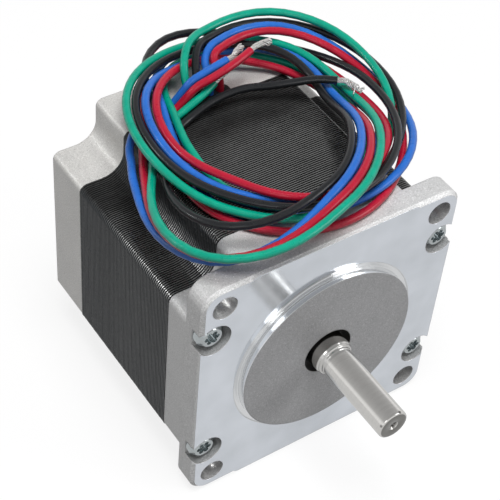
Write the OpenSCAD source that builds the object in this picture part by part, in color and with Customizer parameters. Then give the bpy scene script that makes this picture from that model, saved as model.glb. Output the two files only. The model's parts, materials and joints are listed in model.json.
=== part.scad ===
// Hybrid stepper motor with a square flange, lying on its side with four coiled leads on top.
// Millimetres. X runs across the flange, Y runs from the flange face into the body, Z is up.
// The origin is the centre of the flange's mounting face, and the shaft points along -Y.

/* [Flange] */
// Width and height of the square flange, and of the body behind it
flange_w = 56.4; // [55.6:0.1:60]
// Thickness of the flange plate
flange_t = 4.9; // [4:0.1:6]
// Corner radius of the flange plate
flange_corner_r = 4; // [2:0.1:4.5]
// Bevel round the flange's front edge
flange_bevel = 0.7; // [0.3:0.1:1.2]
// Distance of the mounting holes from the flange's edges
hole_edge = 4.63; // [4.2:0.01:5.4]
// Diameter of a mounting hole
hole_d = 5.1; // [4.5:0.1:5.6]
// Diameter of the turned pilot
pilot_d = 38.1; // [36:0.1:40]
// Height of the pilot above the mounting face
pilot_h = 1.6; // [1:0.1:2.4]
// Width of the turned relief ring round the pilot
relief_w = 1.1; // [0.4:0.1:1.6]
// Depth of the relief ring
relief_t = 0.3; // [0.1:0.05:0.5]
// Diameter of the hole that the shaft passes through in the pilot
pilot_bore_d = 10.5; // [10:0.1:14]

/* [Body] */
// Size of the notches in the body's corners, as a share of its width
notch_share = 0.16844; // [0.16:0.0001:0.172]
// Corner radius of the arms
arm_tip_r = 1.6; // [1:0.1:2]
// Fillet radius in the corner notches
notch_r = 4.6; // [3:0.1:5.5]
// Length of the front bell from the mounting face
front_bell_l = 10.9; // [10.5:0.1:13]
// Length of the lamination stack
stack_l = 32.3; // [26:0.1:46]
// Length of the rear bell
rear_bell_l = 10.8; // [10.6:0.1:14]
// How far the bells stay inside the outline of the laminations
bell_inset = 0.1; // [0:0.05:0.2]
// Metal round the room for the end turns, inside the bells
body_wall = 2.3; // [2:0.1:2.4]
// Wall of the bosses that hold the bearings
boss_wall = 2.5; // [1.5:0.1:3]

/* [Shaft] */
// Diameter of the output shaft
shaft_d = 6.35; // [5:0.05:6.6]
// Length of the output shaft from the mounting face
shaft_l = 22.2; // [18:0.1:30]
// Diameter of the shaft in its bearings
journal_d = 8; // [7.6:0.05:8.2]
// How far the journal reaches in front of the mounting face
journal_reach = 3.6; // [2.5:0.1:5]
// Length of the taper between journal and output shaft
taper_l = 1.1; // [0.6:0.1:2]
// Chamfer on both ends of the shaft
shaft_chamfer = 0.45; // [0.2:0.05:0.8]
// Diameter of the shaft inside the rotor
core_d = 9.6; // [9:0.1:10]
// Mouth diameter of the centre drilling in the tip
centre_d = 2; // [1.2:0.1:2.4]

/* [Bearings] */
// Outer diameter of a bearing, as a share of the journal's
bearing_share = 2.75; // [2.65:0.01:2.8]
// Width of a bearing
bearing_w = 7; // [6:0.1:7.2]
// Wall of the bearing rings at their shoulders, as a share of the space between journal and seat
ring_share = 0.3; // [0.26:0.01:0.32]
// Diameter of a ball, as a share of the same space
ball_share = 0.56; // [0.5:0.01:0.58]
// Thickness of the cage, as a share of the same space
cage_share = 0.37; // [0.3:0.01:0.38]
// Number of balls in a bearing
ball_count = 7; // [5:1:8]
// How much wider the bearing cage is than its balls
cage_rim = 1.1; // [0.8:0.1:1.4]
// Thickness of a bearing shield
shield_t = 0.4; // [0.3:0.05:0.5]
// Metal between the pilot's face and the front bearing
front_wall = 3; // [2:0.1:3.4]
// Metal behind the rear bearing
rear_wall = 1.5; // [1.2:0.1:2]

/* [Stator and rotor] */
// Number of stator poles
pole_count = 8; // [8:1:8]
// Number of teeth on each pole
pole_teeth = 6; // [4:1:6]
// Number of teeth on each rotor cup
rotor_teeth = 50; // [50:1:50]
// Depth of the slots that the coils fill, from the yoke to the rotor's teeth
winding_room = 6.9; // [6.8:0.1:7.4]
// Gap between the rotor's and the stator's teeth
air_gap = 0.2; // [0.15:0.05:0.3]
// Height of the teeth
tooth_h = 0.8; // [0.5:0.05:0.9]
// Thickness of the pole shoe behind its teeth
shoe_t = 1.3; // [1:0.1:1.4]
// Width of a pole as a share of its shoe's
pole_share = 0.44; // [0.4:0.01:0.46]
// Width of the ledge that the yoke shows inside the bells
yoke_ledge = 1; // [0.9:0.1:1.3]
// Thickness of the disc magnet
magnet_t = 2.5; // [2:0.1:4]
// How far the disc magnet stays inside the rotor's teeth
magnet_inset = 3.5; // [2:0.5:6]
// Distance from the ends of the rotor to the ends of the stack
rotor_inset = 0.6; // [0.3:0.1:1.5]

/* [Coils] */
// Width of a coil as a share of the room between its neighbours
coil_share = 0.8; // [0.7:0.01:0.82]
// Height of a coil's end turns above the insulator's plate
coil_end = 2.9; // [2:0.1:3]
// Thickness of the insulator's plate and walls
insulator_t = 0.7; // [0.5:0.05:0.75]
// Height of the insulator's walls above the stack
insulator_h = 4.4; // [4:0.1:4.6]

/* [Screws] */
// Thread diameter of an assembly screw
screw_d = 3; // [2.6:0.1:3]
// Diameter of a screw head
head_d = 5.6; // [5:0.1:5.8]
// Height of a screw head
head_h = 2.1; // [1.6:0.1:2.4]
// Depth of a screw head below the mounting face
head_drop = 0.8; // [0.5:0.1:1.2]
// Distance of the screws from the sides of the motor
screw_edge = 2.9; // [2.7:0.1:3.2]
// Distance of the screws from the corner notches
screw_inset = 2.7; // [2.5:0.1:3.3]
// Diameter of the pocket round a screw head
pocket_d = 7; // [6.6:0.1:7.2]

/* [Leads] */
// Outer diameter of an insulated lead
lead_d = 1.6; // [1.4:0.05:1.6]
// Diameter of one strand of the bare conductor
strand_d = 0.28; // [0.2:0.02:0.3]
// Width of the grommet that the leads leave through
grommet_w = 11.2; // [10.6:0.1:13]
// Depth of the grommet, along the motor
grommet_l = 2.9; // [2.6:0.1:3.4]
// Distance between two leads in the grommet
grommet_pitch = 2.4; // [2.2:0.1:2.5]
// How far the grommet stands proud of the rear bell
grommet_lip = 0.6; // [0.3:0.1:1]

/* [Hidden] */

$fn = 96;
overrun = 1;            // every cut runs this far past the surface that it opens
fit_gap = 0.03;         // radial gap of pieces that are pressed or cemented together
slip_gap = 0.1;         // gap of pieces that are laid or slid together
screw_hole_gap = 0.1;   // radial gap of a screw in its passage
thread_gap = 0.04;      // radial gap of a screw in its tapped hole
race_gap = 0.06;        // gap between a ball and what holds it
shield_gap = 0.25;      // running gap of a shield at the inner ring
tooth_share = 0.42;     // width of a tooth as a share of the tooth pitch
rear_plate_t = 4.9;     // thickness of the rear bell's end
centre_shares = [0.85, 0.4, 1.2];   // centre drilling: its cone's depth, its drill's diameter and depth
head_shares = [0.45, 0.72];         // domed part of a screw head: its height, and its diameter at the top
recess_shares = [0.34, 0.55];       // screw recess: its core's diameter and its depth
lobe_shares = [0.19, 0.09];         // lobes of the recess: distance from the middle, and radius
lobe_count = 6;

stack_w = flange_w;
arm_w = stack_w * (1 - 2 * notch_share);
stack_y0 = front_bell_l;
stack_y1 = front_bell_l + stack_l;
body_l = stack_y1 + rear_bell_l;
bell_w = stack_w - 2 * bell_inset;
bell_arm_w = arm_w - 2 * bell_inset;
hole_place = flange_w / 2 - hole_edge;
screw_x = stack_w / 2 - screw_edge;
screw_z = arm_w / 2 - screw_inset;
inner_r = min(stack_w / 2, norm([1, 1]) * (arm_w / 2 + notch_r) - notch_r);
cavity_r = inner_r - body_wall;

bearing_d = journal_d * bearing_share;
front_seat_y = front_wall - pilot_h;
rear_seat_y = body_l - rear_wall;
washer_room = 1;
rear_bearing_y = rear_seat_y - washer_room - bearing_w;
front_bearing_end = front_seat_y + bearing_w;

tooth_pitch = 360 / rotor_teeth;
yoke_r = cavity_r - yoke_ledge;
rotor_r = yoke_r - winding_room;
bore_r = rotor_r + air_gap;
root_r = bore_r + tooth_h;
shoe_r = root_r + shoe_t;
shoe_span = (pole_teeth - 1 + tooth_share) * tooth_pitch;
pole_pitch = 360 / pole_count;
pole_w = 2 * shoe_r * sin(shoe_span / 2) * pole_share;
rotor_y0 = stack_y0 + rotor_inset;
rotor_l = stack_l - 2 * rotor_inset;
cup_l = (rotor_l - magnet_t) / 2;

insulator_wall_r = cavity_r - 2 * slip_gap;
coil_r0 = shoe_r + insulator_t / 2 + slip_gap;
coil_half_w = coil_r0 * tan(pole_pitch / 2) * coil_share;
coil_r1 = sqrt(pow(yoke_r - slip_gap, 2) - pow(coil_half_w, 2));
board_span = 34;        // angle that the lead board takes out of the rear insulator's wall
board_ease = 1;         // angle left free at each side of the board

head_y = head_drop + head_h;
screw_l = body_l - head_y - overrun;
shank_r = screw_d / 2 - thread_gap;

grommet_z0 = cavity_r + slip_gap;
grommet_y = stack_y1 + grommet_l / 2;
lead_r = lead_d / 2;

// Turns a shape drawn along Z so that it runs along Y from the mounting face into the body
module along_y(y = 0) {
    translate([0, y, 0]) rotate([-90, 0, 0]) children();
}

module ring(outer_r, inner_r, h) {
    difference() {
        cylinder(r = outer_r, h = h);
        translate([0, 0, -overrun]) cylinder(r = inner_r, h = h + 2 * overrun);
    }
}

module rounded_rect(w, h, r) {
    square([w - 2 * r, h], center = true);
    square([w, h - 2 * r], center = true);
    for (sx = [-1, 1], sy = [-1, 1])
        translate([sx * (w / 2 - r), sy * (h / 2 - r)]) circle(r = r);
}

// Square body with notched corners: two crossed arms, with a fillet where they meet
module cross_outline(w, arm, tip_r, root_fillet) {
    rounded_rect(w, arm, tip_r);
    rounded_rect(arm, w, tip_r);
    for (sx = [0, 1], sy = [0, 1]) mirror([sx, 0]) mirror([0, sy])
        translate([arm / 2, arm / 2]) difference() {
            translate([-overrun, -overrun]) square(root_fillet + overrun);
            translate([root_fillet, root_fillet]) circle(r = root_fillet);
        }
}

module at_screws() {
    for (sx = [-1, 1], sz = [-1, 1]) translate([sx * screw_x, sz * screw_z, 0]) children();
}

module at_holes() {
    for (sx = [-1, 1], sz = [-1, 1]) translate([sx * hole_place, sz * hole_place, 0]) children();
}

function polar(r, a) = [r * cos(a), r * sin(a)];

// End bells

module flange_plate() {
    hull() {
        linear_extrude(flange_bevel)
            rounded_rect(flange_w - 2 * flange_bevel, flange_w - 2 * flange_bevel,
                flange_corner_r - flange_bevel, $fn = 32);
        translate([0, 0, flange_bevel]) linear_extrude(flange_t - flange_bevel)
            rounded_rect(flange_w, flange_w, flange_corner_r, $fn = 32);
    }
}

module front_end_bell() {
    boss_r = bearing_d / 2 + boss_wall;
    color("lightsteelblue") along_y() difference() {
        union() {
            difference() {
                union() {
                    flange_plate();
                    linear_extrude(front_bell_l)
                        cross_outline(bell_w, bell_arm_w, arm_tip_r, notch_r);
                }
                translate([0, 0, flange_t]) cylinder(r = cavity_r, h = front_bell_l);
                translate([0, 0, -overrun])
                    ring(pilot_d / 2 + relief_w, pilot_d / 2 - overrun / 2, overrun + relief_t);
            }
            translate([0, 0, -pilot_h]) cylinder(d = pilot_d, h = pilot_h + flange_t / 2);
            cylinder(r = boss_r, h = front_bearing_end);
        }
        translate([0, 0, -pilot_h - overrun]) cylinder(d = pilot_bore_d, h = front_bell_l);
        translate([0, 0, front_seat_y]) cylinder(d = bearing_d + 2 * fit_gap, h = front_bell_l);
        at_holes() translate([0, 0, -overrun]) cylinder(d = hole_d, h = flange_t + 2 * overrun);
        at_screws() {
            translate([0, 0, -overrun]) cylinder(d = pocket_d, h = head_y + overrun);
            cylinder(r = screw_d / 2 + screw_hole_gap, h = front_bell_l + overrun);
        }
    }
}

module grommet_outline(gap) {
    intersection() {
        rounded_rect(grommet_w + 2 * gap, 2 * (grommet_l + gap), grommet_l / 2);
        translate([-grommet_w, 0]) square([2 * grommet_w, 2 * grommet_l]);
    }
}

module rear_end_bell() {
    boss_r = bearing_d / 2 + boss_wall;
    color("gainsboro") difference() {
        along_y(stack_y1) difference() {
            linear_extrude(rear_bell_l) cross_outline(bell_w, bell_arm_w, arm_tip_r, notch_r);
            difference() {
                translate([0, 0, -overrun]) cylinder(r = cavity_r, h = rear_bell_l - rear_plate_t + overrun);
                translate([0, 0, rear_bearing_y - stack_y1]) cylinder(r = boss_r, h = rear_bell_l);
            }
            translate([0, 0, -overrun])
                cylinder(d = bearing_d + 2 * fit_gap, h = rear_bell_l - rear_wall + overrun);
            at_screws() translate([0, 0, -overrun])
                cylinder(r = screw_d / 2, h = rear_bell_l + 2 * overrun);
        }
        translate([0, stack_y1, 0]) linear_extrude(stack_w) grommet_outline(0);
    }
}

// Stator

function slot_side(a, side) = [
    polar(yoke_r, a + side * pole_pitch / 2),
    polar(yoke_r, a + side * (pole_pitch / 4 + asin(pole_w / 2 / yoke_r) / 2)),
    polar(yoke_r, a + side * asin(pole_w / 2 / yoke_r)),
    polar(shoe_r, a + side * asin(pole_w / 2 / shoe_r)),
    polar(shoe_r, a + side * (shoe_span / 4 + asin(pole_w / 2 / shoe_r) / 2)),
    polar(shoe_r, a + side * shoe_span / 2)];

function reversed(list) = [for (i = [len(list) - 1:-1:0]) list[i]];

// Inside of the stack: the toothed bore and the slots, as one closed line
function stack_inside() = [for (k = [0:pole_count - 1]) each
    let (a = k * pole_pitch, first = a - shoe_span / 2) concat(
        slot_side(a, -1),
        [for (t = [0:pole_teeth - 1]) each
            let (start = first + t * tooth_pitch, end = start + tooth_share * tooth_pitch) concat(
                t == 0 ? [] : [polar(root_r, start)],
                [polar(bore_r, start), polar(bore_r, end)],
                t == pole_teeth - 1 ? [] : [polar(root_r, end)])],
        [for (i = [5:-1:1]) slot_side(a, 1)[i]])];

module stator_stack() {
    color("dimgray") along_y(stack_y0) difference() {
        linear_extrude(stack_l) difference() {
            cross_outline(stack_w, arm_w, arm_tip_r, notch_r);
            polygon(stack_inside());
        }
        at_screws() translate([0, 0, -overrun])
            cylinder(r = screw_d / 2 + screw_hole_gap, h = stack_l + 2 * overrun);
    }
}

// One coil round the pole on the local X axis, seen along the motor
module coil() {
    window = pole_w / 2 + insulator_t + slip_gap;
    end = insulator_t + slip_gap;
    translate([coil_r0, 0, 0]) difference() {
        translate([0, -coil_half_w, -end - coil_end])
            cube([coil_r1 - coil_r0, 2 * coil_half_w, stack_l + 2 * (end + coil_end)]);
        translate([-overrun, -window, -end])
            cube([coil_r1 - coil_r0 + 2 * overrun, 2 * window, stack_l + 2 * end]);
    }
}

module phase_coils(first) {
    along_y(stack_y0) for (k = [first:2:pole_count - 1]) rotate(k * pole_pitch) coil();
}

module phase_a_coils() {
    color("peru") phase_coils(0);
}

module phase_b_coils() {
    color("chocolate") phase_coils(1);
}

module pole_sector(outer_r, inner_r, h) {
    reach = outer_r * 2;
    intersection() {
        ring(outer_r, inner_r, h);
        linear_extrude(h) for (k = [0:pole_count - 1]) rotate(k * pole_pitch)
            polygon([[0, 0], polar(reach, -shoe_span / 2), polar(reach, shoe_span / 2)]);
    }
}

// Insulator that lies on one end of the stack, with its walls away from it
module insulator() {
    pole_sector(shoe_r, root_r, insulator_t);
    ring(insulator_wall_r, yoke_r, insulator_t);
    for (k = [0:pole_count - 1]) rotate(k * pole_pitch)
        translate([shoe_r - overrun / 2, -pole_w / 2, 0])
            cube([yoke_r - shoe_r + overrun, pole_w, insulator_t]);
    pole_sector(shoe_r, shoe_r - insulator_t, insulator_h);
    ring(insulator_wall_r, yoke_r + slip_gap, insulator_h);
}

module front_insulator() {
    color("ivory") along_y(stack_y0) mirror([0, 0, 1]) insulator();
}

module board_sector(h, span) {
    reach = cavity_r * 2;
    linear_extrude(h) polygon([[0, 0], for (side = [-1:1]) polar(reach, -90 + side * span / 2)]);
}

module rear_insulator() {
    color("ivory") along_y(stack_y1) difference() {
        insulator();
        translate([0, 0, insulator_t]) board_sector(insulator_h, board_span);
    }
}

module lead_board() {
    color("seagreen") along_y(stack_y1 + insulator_t) intersection() {
        ring(insulator_wall_r, yoke_r + slip_gap, insulator_h - insulator_t);
        board_sector(insulator_h, board_span - 2 * board_ease);
    }
}

module lead_grommet() {
    color("black") translate([0, stack_y1, 0]) difference() {
        translate([0, 0, grommet_z0])
            linear_extrude(bell_w / 2 - grommet_z0 + grommet_lip) grommet_outline(-slip_gap / 2);
        for (i = [0:LEAD_COUNT - 1])
            translate([(i - (LEAD_COUNT - 1) / 2) * grommet_pitch, grommet_l / 2, 0])
                cylinder(r = lead_r + slip_gap, h = stack_w);
    }
}

// Rotor

module rotor_shaft() {
    shaft_r = shaft_d / 2;
    journal_r = journal_d / 2;
    rear_end = rear_seat_y - washer_room / 2;
    color("silver") along_y() difference() {
        rotate_extrude() polygon([
            [0, -shaft_l], [shaft_r - shaft_chamfer, -shaft_l], [shaft_r, -shaft_l + shaft_chamfer],
            [shaft_r, -journal_reach - taper_l], [journal_r, -journal_reach],
            [journal_r, front_bearing_end], [core_d / 2, front_bearing_end],
            [core_d / 2, rear_bearing_y], [journal_r, rear_bearing_y],
            [journal_r, rear_end - shaft_chamfer], [journal_r - shaft_chamfer, rear_end], [0, rear_end]]);
        translate([0, 0, -shaft_l]) {
            cylinder(r1 = centre_d / 2, r2 = 0, h = centre_d * centre_shares[0]);
            cylinder(d = centre_d * centre_shares[1], h = centre_d * centre_shares[2]);
        }
    }
}

// Toothed rim of a rotor cup, with the teeth turned by a share of their pitch
function cup_rim(turn) = [for (k = [0:rotor_teeth - 1]) each
    let (a = (k + turn) * tooth_pitch, half = tooth_share * tooth_pitch / 2) [
        polar(rotor_r - tooth_h, a - half), polar(rotor_r, a - half),
        polar(rotor_r, a + half), polar(rotor_r - tooth_h, a + half)]];

module rotor_cup(turn) {
    difference() {
        linear_extrude(cup_l) polygon(cup_rim(turn));
        translate([0, 0, -overrun]) cylinder(r = core_d / 2 + fit_gap, h = cup_l + 2 * overrun);
    }
}

module front_rotor_cup() {
    color("slategray") along_y(rotor_y0) rotor_cup(0);
}

module rear_rotor_cup() {
    color("slategray") along_y(rotor_y0 + cup_l + magnet_t) rotor_cup(0.5);
}

module rotor_magnet() {
    color("darkslategray") along_y(rotor_y0 + cup_l)
        ring(rotor_r - magnet_inset, core_d / 2 + fit_gap, magnet_t);
}

// Ball bearings, drawn from their front face backwards

race_r0 = journal_d / 2 + fit_gap;
race_r1 = bearing_d / 2;
race_h = race_r1 - race_r0;
ball_path_r = (race_r0 + race_r1) / 2;
ball_d = race_h * ball_share;
ring_wall = race_h * ring_share;
groove_r = ball_d / 2 + race_gap;

module race_groove() {
    translate([0, 0, bearing_w / 2]) rotate_extrude()
        translate([ball_path_r, 0]) circle(r = groove_r, $fn = 48);
}

module outer_ring() {
    seat = race_r1 - ring_wall;
    difference() {
        ring(race_r1, seat, bearing_w);
        race_groove();
        for (z = [-overrun, bearing_w - shield_t - slip_gap])
            translate([0, 0, z]) cylinder(r = seat + ring_wall / 3, h = overrun + shield_t + slip_gap);
    }
}

module inner_ring() {
    difference() {
        ring(race_r0 + ring_wall, race_r0, bearing_w);
        race_groove();
    }
}

module balls() {
    for (k = [0:ball_count - 1]) rotate(k * 360 / ball_count)
        translate([ball_path_r, 0, bearing_w / 2]) sphere(d = ball_d, $fn = 48);
}

module cage() {
    half = race_h * cage_share / 2;
    width = ball_d + cage_rim;
    difference() {
        translate([0, 0, (bearing_w - width) / 2]) ring(ball_path_r + half, ball_path_r - half, width);
        for (k = [0:ball_count - 1]) rotate(k * 360 / ball_count)
            translate([ball_path_r - half - overrun, 0, bearing_w / 2]) rotate([0, 90, 0])
                cylinder(d = ball_d + 2 * race_gap, h = 2 * (half + overrun));
    }
}

module shields() {
    outer = race_r1 - ring_wall + ring_wall / 3 - fit_gap;
    inner = race_r0 + ring_wall + shield_gap;
    for (z = [slip_gap / 2, bearing_w - shield_t - slip_gap / 2])
        translate([0, 0, z]) ring(outer, inner, shield_t);
}

module front_bearing_outer_ring() {
    color("lightgray") along_y(front_seat_y) outer_ring();
}

module front_bearing_inner_ring() {
    color("lightgray") along_y(front_seat_y) inner_ring();
}

module front_bearing_balls() {
    color("whitesmoke") along_y(front_seat_y) balls();
}

module front_bearing_cage() {
    color("goldenrod") along_y(front_seat_y) cage();
}

module front_bearing_shields() {
    color("darkgray") along_y(front_seat_y) shields();
}

module rear_bearing_outer_ring() {
    color("lightgray") along_y(rear_bearing_y) outer_ring();
}

module rear_bearing_inner_ring() {
    color("lightgray") along_y(rear_bearing_y) inner_ring();
}

module rear_bearing_balls() {
    color("whitesmoke") along_y(rear_bearing_y) balls();
}

module rear_bearing_cage() {
    color("goldenrod") along_y(rear_bearing_y) cage();
}

module rear_bearing_shields() {
    color("darkgray") along_y(rear_bearing_y) shields();
}

// Wave washer that presses on the outer ring of the rear bearing
washer_t = 0.3;
washer_waves = 3;
washer_steps = 48;

module wave_washer() {
    outer = bearing_d / 2 - slip_gap;
    inner = outer - ring_wall;
    swing = (washer_room - washer_t) / 2 - slip_gap / 2;
    points = [for (i = [0:washer_steps - 1]) each
        let (a = i * 360 / washer_steps, z = washer_room / 2 + swing * cos(washer_waves * a))
        [for (c = [[inner, -1], [outer, -1], [outer, 1], [inner, 1]])
            [c[0] * cos(a), c[0] * sin(a), z + c[1] * washer_t / 2]]];
    faces = [for (i = [0:washer_steps - 1], c = [0:3]) each
        let (n = (i + 1) % washer_steps, d = (c + 1) % 4,
            p = 4 * i + c, q = 4 * i + d, s = 4 * n + c, t = 4 * n + d)
        [[p, q, s], [q, t, s]]];
    color("lightslategray") along_y(rear_bearing_y + bearing_w) polyhedron(points, faces);
}

// Assembly screws with a six-lobe recess in a domed head

module screw_head() {
    dome_h = head_h * head_shares[0];
    recess_h = head_h * recess_shares[1];
    difference() {
        union() {
            cylinder(d1 = head_d * head_shares[1], d2 = head_d, h = dome_h);
            translate([0, 0, dome_h]) cylinder(d = head_d, h = head_h - dome_h);
        }
        translate([0, 0, -overrun]) {
            cylinder(d = head_d * recess_shares[0], h = overrun + recess_h);
            for (k = [0:lobe_count - 1]) rotate(k * 360 / lobe_count)
                translate([head_d * lobe_shares[0], 0, 0])
                    cylinder(r = head_d * lobe_shares[1], h = overrun + recess_h, $fn = 24);
        }
    }
}

module assembly_screws() {
    color("lightcyan") along_y() at_screws() {
        translate([0, 0, head_drop]) screw_head();
        translate([0, 0, head_y]) cylinder(r = shank_r, h = screw_l);
    }
}

// Leads

// Each lead is coiled by hand: its reach from the coil's centre and its height above the middle of the
// motor at every eighth of a turn, clockwise from the rear. It crosses over and under the others.
coil_centre = [1, 30];
lead_base = [0, 43.2, 28.2];        // where the rear edge of the stack's top is in the leads' numbers
lead_shift = [0, stack_y1, stack_w / 2] - lead_base;
coil_first = 15;        // angle where the coil starts, clockwise from the rear
coil_last = 1000;       // angle where it ends, after 2.7 turns
loop_rings = 24;        // rings of corners in one turn of a coil
coil_sides = 6;
run_sides = 8;

GREEN = 0;
BLACK = 1;
BLUE = 2;
RED = 3;
LEAD_COUNT = 4;
lead_names = ["green", "black", "blue", "red"];
lead_colours = ["mediumseagreen", "dimgray", "royalblue", "crimson"];

coil_reach = [
    [23.2, 31.6, 29.5, 24.6, 19.9, 16, 13.2, 15,
     25, 23.6, 21.8, 21.8, 25.6, 22.6, 21.7, 23.8,
     25.2, 25.8, 21.9, 23.8, 29.2, 37.2, 21.3, 16.6],
    [20.5, 31.2, 31.2, 26.6, 21.7, 18.9, 16.6, 18.8,
     30.4, 28.8, 26.7, 27.1, 25.6, 21, 20, 22,
     23.2, 22.3, 17.2, 18.3, 23.6, 28.6, 18.9, 14],
    [18.5, 28.6, 31, 29.6, 23.6, 20.6, 14.9, 16.9,
     26.8, 25.3, 23.5, 23.5, 21.6, 19.2, 18.2, 20.2,
     21.7, 24, 18.9, 20.2, 25.6, 33.8, 25, 20.4],
    [16.2, 26.4, 29.2, 28.4, 27.3, 22.8, 18.3, 20.9,
     28.6, 27.1, 25.2, 25.3, 23.7, 17.5, 16.4, 18.2,
     20.1, 20.6, 20, 22, 27.4, 34.8, 23, 18.4]];
coil_height = [
    [35.6, 34.9, 32.8, 29.2, 29.2, 29.2, 31.2, 31.3,
     29.2, 29.2, 29.2, 31.5, 31.5, 31.4, 33.3, 34.4,
     32.6, 31.6, 31.6, 35.3, 35.9, 33.8, 29.7, 29.1],
    [35.8, 32.8, 31.6, 30.8, 29.2, 30.6, 31.2, 32,
     31.2, 28.8, 32.1, 33.6, 33.4, 33, 33.3, 34.4,
     32.9, 32.7, 31.4, 35.3, 35.9, 33, 29.3, 29.5],
    [35.6, 33.8, 28.9, 31.2, 29.2, 29.2, 29.6, 31.6,
     30, 29.2, 29.2, 33.6, 31.9, 32.4, 33.3, 34.6,
     31.3, 31.3, 31.6, 35.3, 35.9, 29.3, 27.6, 29.1],
    [35.6, 34.2, 30.3, 29.2, 29.2, 29.2, 31.2, 30.9,
     29.1, 29.2, 29.2, 33.2, 33.6, 33.7, 33.3, 34.4,
     32.6, 29.8, 29.8, 34.9, 35.9, 31.2, 28.6, 29.1]];

// Hand-set points between the grommet and the coil, the leads' places in the grommet from left to right
exit_route = [
    [[-3.6, 45.1, 30.9], [-3.4, 46.5, 32.9], [-2.3, 48.7, 35.1], [0.3, 51.6, 36], [3.6, 53.7, 35.8]],
    [[-1.2, 45, 31.2], [-1, 46.3, 33.2], [0.2, 48.5, 34.8], [2.1, 50.7, 35.4], [4.2, 52, 35.2]],
    [[1.2, 45, 31], [1.3, 46.1, 32.8], [1.9, 47.9, 34.2], [3.4, 49.3, 35]],
    [[3.6, 44.9, 30.6], [3.4, 45.4, 32.2], [3.2, 46.2, 33.8], [3.5, 47.2, 34.9]]];

// Hand-set points between the coil and the stripped end of each lead
tail_route = [
    [[-15, 37.4, 29.1], [-12.2, 39.6, 29.1], [-8.8, 40.9, 29.3], [-5.4, 41.3, 30.6], [-2.2, 41.9, 31.6],
     [1, 42.9, 32.6]],
    [[-13.6, 36.1, 29.1], [-10.4, 38, 29.1], [-7, 39.3, 29.4], [-3, 40, 30.4], [1.6, 40.3, 31.1],
     [6.2, 39.8, 31.4], [10.6, 38, 31.6], [14.8, 35.7, 32.5], [18.2, 33.4, 33.5], [21.2, 31, 33.8]],
    [[-20.2, 38.4, 28.5], [-17.3, 41.6, 29.1], [-13.6, 43.8, 29.1], [-9.6, 45, 29.02], [-7.1, 45, 29.1],
     [-5.2, 44.6, 31.4], [-3.4, 44.2, 33.7], [-0.9, 43.8, 35], [2.1, 43.9, 35.7], [4.4, 44.1, 36]],
    [[-17.2, 38.6, 29.1], [-13.4, 41.6, 29.1], [-9.8, 43.1, 29.05], [-7.3, 43.2, 29.2], [-5.2, 42.9, 31.4],
     [-3.2, 42.5, 33.5], [0.2, 41.9, 35.1], [4.2, 42.3, 35.9], [7, 43, 36.2], [9.6, 43.9, 36.4]]];
strand_route = [
    [[3.8, 43.8, 33.2], [6.4, 45.1, 33.5]],
    [[22.8, 28.8, 33.9], [23.7, 26.3, 33.7]],
    [[6.8, 44.9, 36.3], [8.9, 45.9, 36.5]],
    [[12.6, 44.5, 36.6], [14.6, 44.4, 36.6]]];

// Value of a table at a place between two entries, on a smooth curve through all of them
function blended(table, place) =
    let (k = min(floor(place), len(table) - 2), f = place - k,
        a = table[max(k - 1, 0)], b = table[k], c = table[k + 1], d = table[min(k + 2, len(table) - 1)])
    (2 * f * f * f - 3 * f * f + 1) * b + (f * f * f - 2 * f * f + f) * (c - a) / 2
        + (3 * f * f - 2 * f * f * f) * c + (f * f * f - f * f) * (d - b) / 2;

function coil_point(i, angle) =
    let (reach = blended(coil_reach[i], angle / 45))
    lead_shift + [coil_centre[0] + reach * sin(angle), coil_centre[1] + reach * cos(angle),
        blended(coil_height[i], angle / 45)];

function unit(v) = v / norm(v);

function shifted(route) = [for (p = route) p + lead_shift];

function coil_heading(i, angle) = unit(coil_point(i, angle + 1) - coil_point(i, angle - 1));

coil_count = round((coil_last - coil_first) / 360 * loop_rings);
join_gap = 0.02;        // a coil and the straight piece that goes on from it stay this far apart

function coil_line(i) = [for (k = [0:coil_count])
    coil_point(i, coil_first + k * (coil_last - coil_first) / coil_count)];

function exit_line(i) =
    let (x = (i - (LEAD_COUNT - 1) / 2) * grommet_pitch, y = grommet_y, start = coil_point(i, coil_first),
        heading = coil_heading(i, coil_first))
    concat([[x, y, bell_w / 2 + grommet_lip - lead_d], [x, y, bell_w / 2 + grommet_lip + lead_d / 2]],
        shifted(exit_route[i]), [start - lead_d * heading, start - join_gap * heading]);

function tail_line(i) =
    let (start = coil_point(i, coil_last), heading = coil_heading(i, coil_last))
    concat([start + join_gap * heading, start + lead_d * heading], shifted(tail_route[i]));

function strand_line(i) =
    let (route = shifted(tail_route[i]), end = route[len(route) - 1], before = route[len(route) - 2],
        heading = unit(end - before))
    concat([end + join_gap * heading, end + lead_d * heading], shifted(strand_route[i]));

function line_heading(line, k, first, last) =
    k == 0 && first != undef ? first : k == len(line) - 1 && last != undef ? last :
    unit(line[min(k + 1, len(line) - 1)] - line[max(k - 1, 0)]);

// Solid tube along a line of points, one ring of corners at each point
module tube(line, radius, sides, side_axis = [0, 0, 1], first = undef, last = undef) {
    count = len(line);
    points = [for (k = [0:count - 1]) each
        let (heading = line_heading(line, k, first, last), across = unit(cross(heading, side_axis)),
            up = cross(across, heading))
        [for (c = [0:sides - 1]) let (a = c * 360 / sides)
            line[k] + radius * (across * cos(a) + up * sin(a))]];
    walls = [for (k = [0:count - 2], c = [0:sides - 1]) each
        let (d = (c + 1) % sides, p = k * sides)
        [[p + c, p + d, p + sides + c], [p + d, p + sides + d, p + sides + c]]];
    near_end = [for (c = [1:sides - 2]) [0, c + 1, c]];
    last_ring = (count - 1) * sides;
    far_end = [for (c = [1:sides - 2]) [last_ring, last_ring + c, last_ring + c + 1]];
    polyhedron(points, concat(walls, near_end, far_end));
}

module lead_exit(i) {
    color(lead_colours[i]) tube(exit_line(i), lead_r, run_sides, unit([1, -1, 0]), [0, 0, 1],
        coil_heading(i, coil_first));
}

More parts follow.
